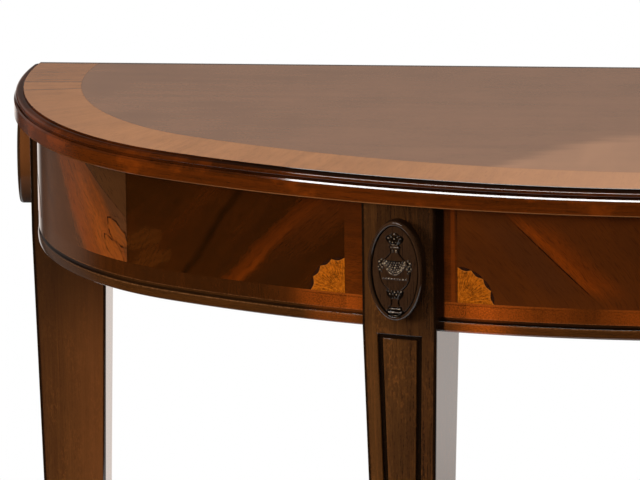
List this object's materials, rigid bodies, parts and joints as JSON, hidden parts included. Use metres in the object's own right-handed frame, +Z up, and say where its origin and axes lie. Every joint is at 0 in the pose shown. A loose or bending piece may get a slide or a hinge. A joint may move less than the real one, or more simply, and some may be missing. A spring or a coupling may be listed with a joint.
{
  "type": "demilune side table",
  "caption": "Half-round wall table with a veneered top, moulded edge, bowed inlaid frieze, oval urn plaques and square tapered legs.",
  "frame": {"origin": "on the floor, under the middle of the top's bounding box", "axes": "+Z up, +X to the right along the straight back, -Y towards the room from the wall side"},
  "size_m": [1.22, 0.41, 0.79],
  "materials": {
    "top_field": "figured mahogany veneer under high-gloss lacquer",
    "top_banding": "cross-grained mahogany banding, high gloss",
    "edge_mahogany": "moulded solid mahogany, high gloss",
    "flame_veneer": "bookmatched flame mahogany, high gloss",
    "frieze_banding": "cross-grained mahogany banding, high gloss",
    "bead_mahogany": "solid mahogany bead, high gloss",
    "satinwood": "sand-shaded satinwood inlay, high gloss",
    "leg_mahogany": "solid mahogany, gloss lacquer",
    "carved_mahogany": "carved and glazed mahogany",
    "rail_wood": "dark-stained laminated hardwood",
    "core_wood": "stained core board"
  },
  "bodies": {
    "root": {"apron_centre_bead": "bead_mahogany", "apron_centre_end_band_left": "frieze_banding", "apron_centre_end_band_right": "frieze_banding", "apron_centre_fan_left": "satinwood", "apron_centre_fan_right": "satinwood", "apron_centre_lower_band": "frieze_banding", "apron_centre_rail": "rail_wood", "apron_centre_veneer_left": "flame_veneer", "apron_centre_veneer_right": "flame_veneer", "apron_left_bead": "bead_mahogany", "apron_left_end_band_left": "frieze_banding", "apron_left_end_band_right": "frieze_banding", "apron_left_fan_left": "satinwood", "apron_left_fan_right": "satinwood", "apron_left_lower_band": "frieze_banding", "apron_left_rail": "rail_wood", "apron_left_veneer_left": "flame_veneer", "apron_left_veneer_right": "flame_veneer", "apron_right_bead": "bead_mahogany", "apron_right_end_band_left": "frieze_banding", "apron_right_end_band_right": "frieze_banding", "apron_right_fan_left": "satinwood", "apron_right_fan_right": "satinwood", "apron_right_lower_band": "frieze_banding", "apron_right_rail": "rail_wood", "apron_right_veneer_left": "flame_veneer", "apron_right_veneer_right": "flame_veneer", "leg_front_left": "leg_mahogany", "leg_front_right": "leg_mahogany", "leg_rear_left": "leg_mahogany", "leg_rear_right": "leg_mahogany", "plaque_front_left": "carved_mahogany", "plaque_front_right": "carved_mahogany", "plaque_rear_left": "carved_mahogany", "plaque_rear_right": "carved_mahogany", "rear_rail": "rail_wood", "top_core": "core_wood", "top_crossband_1": "top_banding", "top_crossband_2": "top_banding", "top_crossband_3": "top_banding", "top_crossband_4": "top_banding", "top_crossband_5": "top_banding", "top_crossband_6": "top_banding", "top_crossband_7": "top_banding", "top_edge_moulding": "edge_mahogany", "top_field_veneer": "top_field"}
  },
  "joints": []
}
